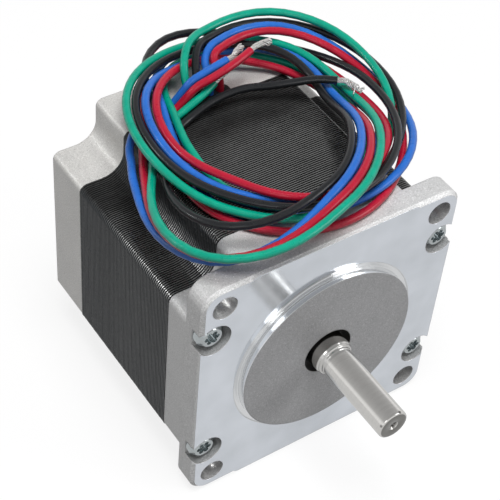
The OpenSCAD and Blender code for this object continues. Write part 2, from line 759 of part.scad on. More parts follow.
module lead_coil(i) {
    color(lead_colours[i]) tube(coil_line(i), lead_r, coil_sides, [0, 0, 1],
        coil_heading(i, coil_first), coil_heading(i, coil_last));
}

module lead_tail(i) {
    color(lead_colours[i]) tube(tail_line(i), lead_r, run_sides, [0, 0, 1], coil_heading(i, coil_last));
}

module lead_strands(i) {
    color("silver") tube(strand_line(i), 2 * strand_d, coil_sides);
}

// Least distance between the passes of one coil, less the lead's own thickness
function coil_gap(i) =
    let (line = coil_line(i), half = loop_rings / 2)
    min([for (a = [0:coil_count - half], b = [a + half:coil_count]) norm(line[a] - line[b])]) - lead_d;

echo(least_gap_of_a_coil_to_itself = [for (i = [0:LEAD_COUNT - 1]) [lead_names[i], coil_gap(i)]]);

front_end_bell();
rear_end_bell();
stator_stack();
phase_a_coils();
phase_b_coils();
front_insulator();
rear_insulator();
lead_board();
lead_grommet();
rotor_shaft();
front_rotor_cup();
rear_rotor_cup();
rotor_magnet();
front_bearing_outer_ring();
front_bearing_inner_ring();
front_bearing_balls();
front_bearing_cage();
front_bearing_shields();
rear_bearing_outer_ring();
rear_bearing_inner_ring();
rear_bearing_balls();
rear_bearing_cage();
rear_bearing_shields();
wave_washer();
assembly_screws();
lead_exit(GREEN);  // green_lead_exit
lead_coil(GREEN);  // green_lead_coil
lead_tail(GREEN);  // green_lead_tail
lead_strands(GREEN);  // green_lead_strands
lead_exit(BLACK);  // black_lead_exit
lead_coil(BLACK);  // black_lead_coil
lead_tail(BLACK);  // black_lead_tail
lead_strands(BLACK);  // black_lead_strands
lead_exit(BLUE);  // blue_lead_exit
lead_coil(BLUE);  // blue_lead_coil
lead_tail(BLUE);  // blue_lead_tail
lead_strands(BLUE);  // blue_lead_strands
lead_exit(RED);  // red_lead_exit
lead_coil(RED);  // red_lead_coil
lead_tail(RED);  // red_lead_tail
lead_strands(RED);  // red_lead_strands
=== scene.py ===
"""Looks of the stepper motor: materials, sheet edges, leads with bare strands, light and camera."""

import json
import math
import random

import bmesh
import bpy
from mathutils import Matrix, Vector

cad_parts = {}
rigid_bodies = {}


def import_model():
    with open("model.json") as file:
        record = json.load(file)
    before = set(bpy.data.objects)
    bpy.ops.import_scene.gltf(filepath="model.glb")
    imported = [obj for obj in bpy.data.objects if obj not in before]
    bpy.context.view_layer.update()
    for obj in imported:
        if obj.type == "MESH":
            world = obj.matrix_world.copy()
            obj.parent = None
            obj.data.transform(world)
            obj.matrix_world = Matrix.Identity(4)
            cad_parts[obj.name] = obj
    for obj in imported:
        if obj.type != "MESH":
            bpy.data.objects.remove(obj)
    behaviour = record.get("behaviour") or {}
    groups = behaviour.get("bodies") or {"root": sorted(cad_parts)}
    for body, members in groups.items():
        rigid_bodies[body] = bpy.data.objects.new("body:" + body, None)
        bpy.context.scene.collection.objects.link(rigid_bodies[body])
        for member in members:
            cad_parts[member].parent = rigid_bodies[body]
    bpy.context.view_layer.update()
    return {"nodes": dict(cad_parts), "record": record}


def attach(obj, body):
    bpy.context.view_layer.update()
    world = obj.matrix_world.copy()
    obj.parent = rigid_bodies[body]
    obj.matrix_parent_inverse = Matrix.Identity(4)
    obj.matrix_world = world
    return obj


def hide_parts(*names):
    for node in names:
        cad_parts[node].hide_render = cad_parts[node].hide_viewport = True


MM = 0.001
for left_over in list(bpy.data.objects):
    bpy.data.objects.remove(left_over)
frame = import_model()


# Sizes that part.scad has too, in millimetres

STACK_W, ARM_W, TIP_R, NOTCH_R = 56.4, 37.4, 1.6, 4.6
STACK_Y0, STACK_L = 10.9, 32.3
YOKE_R = 24.9
FLANGE_W, FLANGE_T = 56.4, 4.9
SCREW_X, SCREW_Z = 25.3, 16.0
HOLE, HOLE_R, POCKET_R = 23.57, 2.55, 3.5
BELL_W = 56.2
PILOT_R, PILOT_H, BORE_R, RELIEF_W = 19.05, 1.6, 5.25, 1.1
SHAFT_R, JOURNAL_R, JOURNAL_REACH, TAPER_L, SHAFT_L = 3.175, 4.0, 3.6, 1.1, 22.2
LEAD_D, STRAND_D = 1.6, 0.28
GROMMET_Y, GROMMET_PITCH, GROMMET_LIP = 44.65, 2.4, 0.6
FLOOR_Z = -28.2


# Sizes that only the looks have, in millimetres

LAMINATIONS = 65        # sheets in the stack
GROOVE_SHARE = 0.2      # share of a sheet's thickness that the groove beside it takes
GROOVE_DEPTH = 0.085
MOST_INSET = 0.035      # furthest that a sheet lies behind the others
DRILL_R, DRILL_L = 1.0, 1.0
DRILL_TIP_R, DRILL_TIP_L = 0.4, 2.35
AXIS_R = 0.02           # radius at which a turned profile starts and ends
SHARP = 0.02            # width over which a mask changes where its edge looks sharp


# Camera, where it stood for the photo

AIM = Vector((-19.54, 0, 35.87))
DISTANCE = 241.35


def make_camera():
    azimuth, elevation, roll = math.radians(-37.497), math.radians(45.639), math.radians(5.6)
    look = Vector((-math.sin(azimuth) * math.cos(elevation),
                   math.cos(azimuth) * math.cos(elevation), -math.sin(elevation)))
    level = look.cross(Vector((0, 0, 1))).normalized()
    upright = level.cross(look)
    right = math.cos(roll) * level + math.sin(roll) * upright
    up = -math.sin(roll) * level + math.cos(roll) * upright
    place = AIM * MM - look * DISTANCE * MM
    data = bpy.data.cameras.new("camera")
    data.lens = 104.6
    data.sensor_width = 36
    data.clip_start, data.clip_end = 0.01, 20
    camera = bpy.data.objects.new("camera", data)
    bpy.context.scene.collection.objects.link(camera)
    turn = Matrix((right, up, -look)).transposed().to_4x4()
    camera.matrix_world = Matrix.Translation(place) @ turn
    bpy.context.scene.camera = camera


make_camera()


# Node trees

class Nodes:
    """Short ways to fill the node tree of a material or of the world."""

    def __init__(self, tree):
        self.tree = tree

    def add(self, kind, *values, **options):
        """Adds a node with options, and gives its inputs in order; None leaves one as it is."""
        node = self.tree.nodes.new(kind)
        for option, value in options.items():
            setattr(node, option, value)
        for socket, value in zip(node.inputs, values):
            if isinstance(value, bpy.types.NodeSocket):
                self.tree.links.new(value, socket)
            elif value is not None:
                socket.default_value = value
        return node

    def math(self, operation, a, b=None):
        return self.add("ShaderNodeMath", a, b, operation=operation).outputs[0]

    def times(self, a, b):
        return self.math("MULTIPLY", a, b)

    def one_minus(self, value):
        return self.math("SUBTRACT", 1.0, value)

    def most(self, value, *others):
        """The greatest of several values."""
        for other in others:
            value = self.math("MAXIMUM", value, other)
        return value

    def span(self, value, low, high, to_low=0.0, to_high=1.0, shape="LINEAR"):
        """Maps a value from one range to another, held inside it."""
        return self.add("ShaderNodeMapRange", value, low, high, to_low, to_high,
                        clamp=True, interpolation_type=shape).outputs[0]

    def fall(self, value, low, high):
        """One below the range and zero above it."""
        return self.span(value, low, high, 1.0, 0.0)

    def seen_directly(self):
        """One for rays from the camera and for reflections of the surroundings, else zero."""
        path = self.add("ShaderNodeLightPath").outputs
        return self.most(path["Is Camera Ray"], path["Is Glossy Ray"], path["Is Transmission Ray"])

    def from_camera(self):
        """One for rays from the camera, zero for reflections."""
        return self.add("ShaderNodeLightPath").outputs["Is Camera Ray"]


class Look(Nodes):
    """One procedural material: a Principled shader and what feeds it."""

    def __init__(self, name, color, roughness, metallic=0.0, **sockets):
        self.material = bpy.data.materials.new(name)
        self.material.use_nodes = True
        super().__init__(self.material.node_tree)
        self.shader = self.tree.nodes["Principled BSDF"]
        self.set("Base Color", (*color, 1))
        self.set("Roughness", roughness)
        self.set("Metallic", metallic)
        for socket, value in sockets.items():
            self.set(socket.replace("_", " "), value)
        self.place = self.add("ShaderNodeTexCoord").outputs["Object"]
        self.normal = None

    def set(self, socket, value):
        target = self.shader.inputs[socket]
        if isinstance(value, bpy.types.NodeSocket):
            self.tree.links.new(value, target)
        else:
            target.default_value = value

    def along(self, axis):
        """Place along an axis of the object, in metres."""
        return self.add("ShaderNodeSeparateXYZ", self.place).outputs[axis]

    def facing(self, axis):
        """How far the surface faces along an axis, from -1 to 1."""
        normal = self.add("ShaderNodeNewGeometry").outputs["Normal"]
        return self.add("ShaderNodeSeparateXYZ", normal).outputs[axis]

    def radius(self):
        """Distance from the shaft's axis, in metres."""
        x, z = self.along(0), self.along(2)
        return self.math("SQRT", self.math("ADD", self.times(x, x), self.times(z, z)))

    def distance(self, point):
        """Distance in metres from a point that is given in millimetres."""
        point = tuple(c * MM for c in point)
        return self.add("ShaderNodeVectorMath", self.place, point,
                        operation="DISTANCE").outputs["Value"]

    def stretched(self, x, y, z):
        return self.add("ShaderNodeMapping", self.place, None, None, (x, y, z)).outputs[0]

    def noise(self, size, detail=3.0, rough=0.55, place=None):
        """Noise whose lumps have this size in millimetres."""
        node = self.add("ShaderNodeTexNoise", place or self.place)
        node.inputs["Scale"].default_value = 1 / (size * MM)
        node.inputs["Detail"].default_value = detail
        node.inputs["Roughness"].default_value = rough
        return node.outputs["Fac"]

    def soft_noise(self, size, low, high):
        """Noise with its middle part mapped to low..high."""
        return self.span(self.noise(size), 0.3, 0.7, low, high)

    def blend(self, share, a, b):
        """Colour or value between a and b."""
        is_color = isinstance(a, tuple) or isinstance(a, bpy.types.NodeSocket) and a.type == "RGBA"
        node = self.tree.nodes.new("ShaderNodeMix")
        node.data_type = "RGBA" if is_color else "FLOAT"
        first, result = (6, 2) if is_color else (2, 0)
        for index, value in ((0, share), (first, a), (first + 1, b)):
            if isinstance(value, bpy.types.NodeSocket):
                self.tree.links.new(value, node.inputs[index])
            elif isinstance(value, tuple):
                node.inputs[index].default_value = (*value, 1)
            else:
                node.inputs[index].default_value = value
        return node.outputs[result]

    def bump(self, height, depth, strength=1.0):
        """Adds a bump of this depth in millimetres; several add up."""
        node = self.tree.nodes.new("ShaderNodeBump")
        node.inputs["Strength"].default_value = strength
        node.inputs["Distance"].default_value = depth * MM
        self.tree.links.new(height, node.inputs["Height"])
        if self.normal:
            self.tree.links.new(self.normal, node.inputs["Normal"])
        self.normal = node.outputs[0]
        self.set("Normal", self.normal)

    def rounded_edges(self, radius):
        """Shades the edges as if they were broken to this radius in millimetres."""
        node = self.add("ShaderNodeBevel", radius * MM)
        node.samples = 6
        self.normal = node.outputs[0]
        self.set("Normal", self.normal)

    def near(self, x, z, reach):
        """One within reach (millimetres) of the four axes at +-x, +-z that run along the motor."""
        dx = self.math("SUBTRACT", self.math("ABSOLUTE", self.along(0)), x * MM)
        dz = self.math("SUBTRACT", self.math("ABSOLUTE", self.along(2)), z * MM)
        away = self.math("SQRT", self.math("ADD", self.times(dx, dx), self.times(dz, dz)))
        return self.fall(away, (reach - SHARP) * MM, (reach + SHARP) * MM)

    def band(self, value, low, high, soft=SHARP):
        """One inside low..high (millimetres), zero outside, with soft edges."""
        rise = self.span(value, (low - soft) * MM, (low + soft) * MM)
        fall = self.fall(value, (high - soft) * MM, (high + soft) * MM)
        return self.times(rise, fall)


# Materials

def grey(value):
    return value, value, value


CAP_CAST = {"color": (0.63, 0.62, 0.6), "dark": (0.38, 0.37, 0.36), "light": (0.93, 0.92, 0.9)}
FLANGE_CAST = {"color": grey(0.59), "dark": grey(0.35), "light": grey(0.91)}
PILOT_CAST = {"color": (0.44, 0.44, 0.45), "dark": (0.26, 0.26, 0.265),
              "light": (0.67, 0.675, 0.68)}
FACED = (0.66, 0.693, 0.74), (0.75, 0.785, 0.84)
TURNED = 0.78, 0.79, 0.8
# Grains on the flange's sides next to the front, lightened as a painted highlight along the edge.
EDGE_GRAINS_AND_PAINTED_HIGHLIGHT = grey(0.56), grey(0.88)
DRILLED_GRAINS = grey(0.45), grey(0.75)
# Painted shade on the wall of the bore.
BORE_PAINTED_SHADE = 0.035, 0.034, 0.032
# Painted light: the sheets' sides get a lighter oxide than their top and bottom, though the oxide
# is the same all round.
PAINTED_LIT_SIDE_OXIDE = (0.03, 0.033, 0.036), (0.04, 0.044, 0.047)
TOP_OXIDE = grey(0.003), grey(0.009)
# Colour of the thin lines at the sheets' edges: partly bare steel from wear, partly a painted
# glint.
WORN_EDGE_AND_PAINTED_GLINT = 0.54, 0.545, 0.54
GROUND = (0.64, 0.63, 0.61), (0.71, 0.7, 0.68)
GROUND_RINGS = 0.58, 0.575, 0.56
# Painted shade on the journal beside the bore; it is the same steel as the shaft.
JOURNAL_PAINTED_SHADE = 0.36, 0.35, 0.33
SHAFT_TIP = 0.21, 0.206, 0.195
# Painted shade in the centre drilling and of three small dents at the tip, which have no geometry.
PAINTED_DENT_AND_DRILL_SHADE = 0.04, 0.036, 0.032
DENTS = (-3.06, 1.49), (-1.88, 3.17), (1.19, 3.05)     # x and z of the small dents at the tip
LEADS = {
    "green": (0.0, 0.345, 0.225),
    "black": (0.011, 0.012, 0.014),
    "blue": (0.022, 0.15, 0.57),
    "red": (0.45, 0.008, 0.032),
}


def blasted(look, color, dark, light):
    """Colour of blasted die-cast aluminium: fine light and dark grains over soft clouds."""
    clouds = look.span(look.noise(6, rough=0.6), 0.35, 0.7)
    grain = look.noise(0.24, detail=2, rough=0.65)
    shade = look.blend(clouds, color, tuple(c * 0.92 for c in color))
    shade = look.blend(look.span(grain, 0.56, 0.76), shade, light)
    return look.blend(look.span(grain, 0.44, 0.26), shade, dark), grain


def cast_aluminium():
    look = Look("blasted_aluminium", grey(0.5), 0.5, 0.2)
    look.rounded_edges(0.5)
    color, grain = blasted(look, **CAP_CAST)
    look.set("Base Color", color)
    look.set("Roughness", look.soft_noise(0.8, 0.3, 0.42))
    look.bump(grain, depth=0.02, strength=0.5)
    look.bump(look.noise(2.5, detail=2), depth=0.015, strength=0.3)
    return look.material


def front_bell():
    """Casting with a faced front, a turned pilot wall and relief ring, and a grainy pilot face;
    painted shade in the bore and a painted highlight along the flange's front edge.
    """
    look = Look("machined_front_bell", grey(0.5), 0.4, 0.5)
    look.rounded_edges(0.35)
    y, radius = look.along(1), look.radius()
    forward = look.span(look.facing(1), -0.9, -0.99)
    aside = look.one_minus(forward)

    # Masks: one on the part of the bell that each names
    on_flange = look.times(look.band(y, -0.1, 0.12), forward)
    on_pilot = look.times(look.band(y, -PILOT_H - 0.2, -PILOT_H + 0.1), forward)
    turned = look.times(look.band(radius, PILOT_R - 0.1, PILOT_R + RELIEF_W + 0.1, soft=0.03),
                        look.band(y, -PILOT_H - 0.05, 0.4))
    polished = look.most(on_flange, look.times(turned, look.one_minus(on_pilot)))
    drilled = look.most(look.near(HOLE, HOLE, HOLE_R + 0.2),
                        look.near(SCREW_X, SCREW_Z, POCKET_R + 0.2))
    inner = look.fall(look.math("ABSOLUTE", look.along(0)),
                      (FLANGE_W / 2 - 0.15) * MM, (FLANGE_W / 2 - 0.1) * MM)
    inner = look.times(inner, look.band(y, 0.0, FLANGE_T - 0.1))
    drilled = look.times(look.times(drilled, inner), aside)
    # Painted shade: the wall of the bore is darkened.
    bore = look.times(look.fall(radius, (BORE_R + 0.05) * MM, (BORE_R + 0.15) * MM), aside)
    # Band on the sides next to the front face, where the painted highlight goes.
    painted_rim_highlight = look.times(look.band(y, 0.02, 0.75, soft=0.06), aside)

    cast, grain = blasted(look, **FLANGE_CAST)
    pilot, _ = blasted(look, **PILOT_CAST)
    coarse = look.span(grain, 0.35, 0.65)
    # Painted highlight: lighter grains along the flange's front edge.
    cast = look.blend(painted_rim_highlight, cast, look.blend(coarse, *EDGE_GRAINS_AND_PAINTED_HIGHLIGHT))
    clouds = look.span(look.noise(9, detail=2), 0.3, 0.7)
    bright = look.blend(turned, look.blend(clouds, *FACED), TURNED)
    color = look.blend(polished, look.blend(on_pilot, cast, pilot), bright)
    color = look.blend(drilled, color, look.blend(coarse, *DRILLED_GRAINS))
    look.set("Base Color", look.blend(bore, color, BORE_PAINTED_SHADE))
    look.set("Metallic", look.blend(polished, look.blend(drilled, 0.15, 0.6), 1.0))
    rough = look.blend(drilled, look.soft_noise(0.8, 0.36, 0.5), 0.32)
    shine = look.blend(turned, look.soft_noise(4, 0.1, 0.17), 0.07)
    look.set("Roughness", look.blend(polished, rough, shine))
    look.bump(look.times(grain, look.one_minus(polished)), depth=0.025, strength=0.5)
    rings = look.math("SINE", look.times(radius, 2 * math.pi / (0.16 * MM)))
    look.bump(look.times(rings, turned), depth=0.004, strength=0.6)
    return look.material


def laminations():
    """Black oxide on the sheets, with their edges as thin light lines: partly bare steel from wear,
    partly a painted glint.

    The lines are painted lighter on the top and the bottom than on the sides, the sides' oxide is
    painted lighter than the top's, and the lines fade towards the back as painted shade of the
    coil.
    """
    look = Look("black_laminations", grey(0.03), 0.4, Specular_IOR_Level=0.1)
    place = look.math("DIVIDE", look.along(1), STACK_L * MM / LAMINATIONS)
    tone = look.add("ShaderNodeTexWhiteNoise", None, look.math("FLOOR", place),
                    noise_dimensions="1D").outputs["Value"]
    part = look.math("FRACT", place)
    edge = look.times(look.span(part, 0.33, 0.43), look.fall(part, 0.67, 0.77))
    streaks = look.noise(0.5, rough=0.6, place=look.stretched(0.1, 1.0, 0.1))
    patches = look.span(look.noise(5), 0.35, 0.65, 0.6, 1.0)
    # Painted shade of the coil: the lines fade towards the back of the stack.
    painted_rear_shade = look.span(look.along(1), (STACK_Y0 + 0.42 * STACK_L) * MM,
                     (STACK_Y0 + 0.8 * STACK_L) * MM, 1.0, 0.15, "SMOOTHSTEP")
    # Wear of the edges from streaks and patches, times the painted shade towards the back.
    wear_and_painted_shade = look.times(look.span(streaks, 0.25, 0.6, 0.8, 1.0), look.times(patches, painted_rear_shade))
    wear_and_painted_shade = look.times(edge, wear_and_painted_shade)
    level = look.math("ABSOLUTE", look.facing(2))
    bare = look.span(level, 0.1, 0.5)
    # Painted light: the sides get a lighter oxide than the top and the bottom.
    base = look.blend(look.span(level, 0.3, 0.8), look.blend(tone, *PAINTED_LIT_SIDE_OXIDE),
                      look.blend(tone, *TOP_OXIDE))
    # Painted light: the lines get a lighter colour on the top and the bottom than on the sides.
    light = look.times(wear_and_painted_shade, look.span(bare, 0.0, 1.0, 0.17, 0.65))
    look.set("Base Color", look.blend(light, base, WORN_EDGE_AND_PAINTED_GLINT))
    look.set("Metallic", look.times(wear_and_painted_shade, bare))
    look.set("Roughness", look.soft_noise(1.5, 0.22, 0.3))
    look.bump(streaks, depth=0.005, strength=0.3)
    return look.material


def ground_steel():
    """Ground shaft: fine lines round it, painted shade in the centre drilling and of small dents at
    the tip.
    """
    look = Look("ground_steel", grey(0.6), 0.2, 1.0, Anisotropic=0.35)
    look.set("Tangent", look.add("ShaderNodeTangent", direction_type="RADIAL", axis="Y").outputs[0])
    y = look.along(1)
    lines = look.noise(0.12, detail=2, rough=0.5, place=look.stretched(0.05, 1.0, 0.05))
    fine = look.span(lines, 0.3, 0.7)
    tip_face = look.fall(y, (-SHAFT_L + 0.02) * MM, (-SHAFT_L + 0.1) * MM)
    rings = look.band(y, -JOURNAL_REACH - TAPER_L - 0.6, -JOURNAL_REACH + 0.5, soft=0.1)
    # Painted shade: the journal is darker than the rest of the shaft.
    journal = look.span(y, -JOURNAL_REACH * MM, (-JOURNAL_REACH + 0.2) * MM)
    steel = look.blend(rings, look.blend(fine, *GROUND), GROUND_RINGS)
    steel = look.blend(journal, steel, JOURNAL_PAINTED_SHADE)
    steel = look.blend(tip_face, steel, SHAFT_TIP)
    inside = look.times(look.fall(look.radius(), (DRILL_R - 0.07) * MM, DRILL_R * MM),
                        look.span(y, (-SHAFT_L + 0.02) * MM, (-SHAFT_L + 0.5) * MM))
    dents = [look.fall(look.distance((x, -SHAFT_L + 0.3, z)), 0.25 * MM, 0.5 * MM)
             for x, z in DENTS]
    # Painted shade: dark spots for the dents and a dark inside for the centre drilling.
    dark = look.most(look.times(look.most(*dents), 0.8), look.times(inside, 0.9))
    look.set("Base Color", look.blend(dark, steel, PAINTED_DENT_AND_DRILL_SHADE))
    look.set("Roughness", look.span(lines, 0.3, 0.7, 0.13, 0.17))
    look.bump(lines, depth=0.0004, strength=0.3)
    return look.material


def metal(name, color, roughness, grain=0.4, depth=0.01, spread=0.85, metallic=1.0):
    """Plain surface with faint clouds, and grains of a size and a depth in millimetres."""
    look = Look(name, color, roughness, metallic)
    shade = tuple(c * spread for c in color)
    look.set("Base Color", look.blend(look.noise(grain * 6), shade, color))
    look.set("Roughness", look.soft_noise(grain * 3, roughness * 0.8, roughness * 1.25))
    look.bump(look.noise(grain), depth, strength=0.5)
    return look.material


def plain(name, color, roughness, grain=0.8, depth=0.02):
    return metal(name, color, roughness, grain, depth, spread=0.8, metallic=0.0)


def windings():
    look = Look("copper_windings", (0.6, 0.25, 0.1), 0.3, 0.6)
    turns = look.add("ShaderNodeTexWave", look.place, 1 / (3 * MM), 0.6,
                     wave_type="BANDS", bands_direction="DIAGONAL").outputs["Fac"]
    # Painted shade in the grooves between the turns and a painted highlight on them.
    look.set("Base Color", look.blend(turns, (0.32, 0.1, 0.035), (0.72, 0.3, 0.12)))
    look.bump(turns, depth=0.1, strength=0.7)
    return look.material


def insulation(name, color):
    """Glossy extruded sleeve, with faint clouds and a few dull scuffs."""
    look = Look(name, color, 0.3, Coat_Weight=0.1, Coat_Roughness=0.12, Specular_IOR_Level=0.38)
    clouds = look.span(look.noise(2.2), 0.3, 0.7)
    look.set("Base Color", look.blend(clouds, tuple(c * 0.82 for c in color), color))
    look.set("Roughness", look.span(look.noise(0.9, detail=4, rough=0.65), 0.35, 0.7, 0.26, 0.36))
    look.bump(look.noise(2.5, detail=2), depth=0.005, strength=0.15)
    return look.material


materials = {
    "cast_aluminium": cast_aluminium(),
    "black_steel": laminations(),
    "copper_wire": windings(),
    "white_nylon": plain("white_nylon", (0.76, 0.74, 0.68), 0.45),
    "board_green": plain("lead_board", (0.02, 0.2, 0.08), 0.4),
    "black_rubber": plain("black_rubber", (0.02, 0.02, 0.021), 0.6, grain=0.3),
    "ground_steel": ground_steel(),
    "lamination_steel": metal("rotor_laminations", (0.36, 0.36, 0.37), 0.4),
    "magnet_black": plain("sintered_magnet", (0.06, 0.06, 0.065), 0.5),
    "bearing_steel": metal("bearing_steel", grey(0.62), 0.14, grain=0.6, depth=0.003, spread=0.95),
    "cage_brass": metal("cage_brass", (0.7, 0.5, 0.2), 0.3),
    "shield_steel": metal("shield_steel", grey(0.5), 0.3),
    "spring_steel": metal("spring_steel", (0.4, 0.42, 0.46), 0.28),
    "zinc_plate": metal("zinc_plate", (0.52, 0.56, 0.57), 0.16, grain=0.35, spread=0.75),
    "tinned_copper": metal("tinned_copper", (0.78, 0.77, 0.75), 0.3, grain=0.2, spread=0.8,
                           metallic=0.6),
}
for name, color in LEADS.items():
    materials[f"{name}_insulation"] = insulation(f"{name}_insulation", color)

for part in frame["record"]["subparts"]:
    node = frame["nodes"][part["node"]]
    node.data.materials.clear()
    node.data.materials.append(materials[part["material_slot"]])
frame["nodes"]["front_end_bell"].data.materials[0] = front_bell()


# Mesh helpers

def new_piece(name, verts, faces, body, slot, smooth=False):
    mesh = bpy.data.meshes.new(name)
    mesh.from_pydata([tuple(c * MM for c in v) for v in verts], [], faces)
    mesh.materials.append(materials[slot])
    mesh.polygons.foreach_set("use_smooth", [smooth] * len(mesh.polygons))
    piece = bpy.data.objects.new(name, mesh)
    bpy.context.scene.collection.objects.link(piece)
    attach(piece, body)
    return piece


def arc(centre, radius, start, end, steps=8):
    """Points on an arc as (x, z, outward x, outward z); a negative radius makes a hollow one."""
    points = []
    for k in range(steps + 1):
        a = math.radians(start + (end - start) * k / steps)
        nx, nz = math.cos(a), math.sin(a)
        side = 1 if radius > 0 else -1
        points.append((centre[0] + abs(radius) * nx, centre[1] + abs(radius) * nz,
                       side * nx, side * nz))
    return points


def stack_outline():
    half, arm = STACK_W / 2, ARM_W / 2
    quarter = (arc((half - TIP_R, arm - TIP_R), TIP_R, 0, 90)
               + arc((arm + NOTCH_R, arm + NOTCH_R), -NOTCH_R, 270, 180)
               + arc((arm - TIP_R, half - TIP_R), TIP_R, 0, 90))
    outline = []
    for c, s in ((1, 0), (0, 1), (-1, 0), (0, -1)):
        outline += [(c * x - s * z, s * x + c * z, c * nx - s * nz, s * nx + c * nz)
                    for x, z, nx, nz in quarter]
    return outline


def on_outside(face):
    """Whether a face of the CAD stack lies on the outside, which the sheets' edges replace."""
    x, _, z = (c / MM for c in face.calc_center_median())
    at_screw = math.hypot(abs(x) - SCREW_X, abs(z) - SCREW_Z) < 2.2
    return abs(face.normal.y) < 0.5 and math.hypot(x, z) > YOKE_R + 0.3 and not at_screw


def make_stack():
    """The stack with the edge of every sheet: each sits a hair further in or out than the next."""
    chance = random.Random(23)
    outline = stack_outline()
    count = len(outline)
    pitch = STACK_L / LAMINATIONS
    loops = []
    for k in range(LAMINATIONS):
        inset = chance.uniform(0.0, MOST_INSET)
        groove = GROOVE_DEPTH if k else inset
        loops += [(STACK_Y0 + k * pitch, groove), (STACK_Y0 + (k + GROOVE_SHARE) * pitch, inset),
                  (STACK_Y0 + (k + 1 - GROOVE_SHARE) * pitch, inset)]
    loops.append((STACK_Y0 + STACK_L, inset))
    verts = [(x - nx * depth, y, z - nz * depth) for y, depth in loops for x, z, nx, nz in outline]
    faces = [(a * count + i, a * count + (i + 1) % count,
              (a + 1) * count + (i + 1) % count, (a + 1) * count + i)
             for a in range(len(loops) - 1) for i in range(count)]
    piece = new_piece("laminated_stack", verts, faces, "stator", "black_steel")
    whole = bmesh.new()
    whole.from_mesh(frame["nodes"]["stator_stack"].data)
    outside = [face for face in whole.faces if on_outside(face)]
    bmesh.ops.delete(whole, geom=outside, context="FACES")
    whole.from_mesh(piece.data)
    whole.to_mesh(piece.data)
    whole.free()
    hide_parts("stator_stack")


make_stack()


def lathe(name, profile, body, slot, steps=160, soft=0.05):
    """Turned piece: profile as (radius, y), each corner broken by two close points."""
    points = []
    for k, (r, y) in enumerate(profile):
        if 0 < k < len(profile) - 1:
            here = Vector((r, y))
            for other in (profile[k - 1], profile[k + 1]):
                way = Vector(other) - here
                points.append(here + way.normalized() * min(soft, way.length / 3))
        else:
            points.append(Vector((r, y)))
    verts, faces = [], []
    for p in points:
        for s in range(steps):
            a = 2 * math.pi * s / steps
            verts.append((p.x * math.cos(a), p.y, p.x * math.sin(a)))
    for k in range(len(points) - 1):
        for s in range(steps):
            t = (s + 1) % steps
            faces.append((k * steps + s, (k + 1) * steps + s, (k + 1) * steps + t, k * steps + t))
    faces.append(tuple(range(steps)))
    faces.append(tuple((len(points) - 1) * steps + s for s in reversed(range(steps))))
    return new_piece(name, verts, faces, body, slot, smooth=True)


def make_shaft():
    """Output shaft with its centre drilling, and the journal's edge turned in two narrow rings."""
    front_end, rear_start, rear_end = 8.4, 44.5, 52.0
    middle_r, chamfer = 4.8, 0.45
    tip = -SHAFT_L
    drilling = [(AXIS_R, tip + DRILL_TIP_L + 0.05), (DRILL_TIP_R, tip + DRILL_TIP_L),
                (DRILL_TIP_R, tip + DRILL_L), (DRILL_R, tip)]
    tip_edge = [(SHAFT_R - chamfer, tip), (SHAFT_R - 0.1, tip + 0.2), (SHAFT_R, tip + chamfer)]
    rings = [(SHAFT_R + height, y) for height, y in (
        (0, -4.75), (0.14, -4.66), (0.14, -4.3), (0.3, -4.15), (0.55, -4.05), (0.55, -3.85))]
    bearing_seats = [(JOURNAL_R, -3.55), (JOURNAL_R, front_end), (middle_r, front_end),
                     (middle_r, rear_start), (JOURNAL_R, rear_start)]
    rear_edge = [(JOURNAL_R, rear_end - chamfer), (JOURNAL_R - chamfer, rear_end),
                 (AXIS_R, rear_end)]
    shaft = lathe("output_shaft", drilling + tip_edge + rings + bearing_seats + rear_edge,
                  "rotor", "ground_steel")
    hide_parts("rotor_shaft")


make_shaft()


# Leads: the same numbers and the same curve as in part.scad. Each table has one number
# for every COIL_STEP degrees of a lead's turns: how far it lies from the coil's centre, how high.

COIL_CENTRE = (1, 30)
COIL_STEP = 45
COIL_FIRST, COIL_LAST = 15, 1000
COIL_REACH = {
    "green": [23.2, 31.6, 29.5, 24.6, 19.9, 16, 13.2, 15,
              25, 23.6, 21.8, 21.8, 25.6, 22.6, 21.7, 23.8,
              25.2, 25.8, 21.9, 23.8, 29.2, 37.2, 21.3, 16.6],
    "black": [20.5, 31.2, 31.2, 26.6, 21.7, 18.9, 16.6, 18.8,
              30.4, 28.8, 26.7, 27.1, 25.6, 21, 20, 22,
              23.2, 22.3, 17.2, 18.3, 23.6, 28.6, 18.9, 14],
    "blue": [18.5, 28.6, 31, 29.6, 23.6, 20.6, 14.9, 16.9,
             26.8, 25.3, 23.5, 23.5, 21.6, 19.2, 18.2, 20.2,
             21.7, 24, 18.9, 20.2, 25.6, 33.8, 25, 20.4],
    "red": [16.2, 26.4, 29.2, 28.4, 27.3, 22.8, 18.3, 20.9,
            28.6, 27.1, 25.2, 25.3, 23.7, 17.5, 16.4, 18.2,
            20.1, 20.6, 20, 22, 27.4, 34.8, 23, 18.4],
}
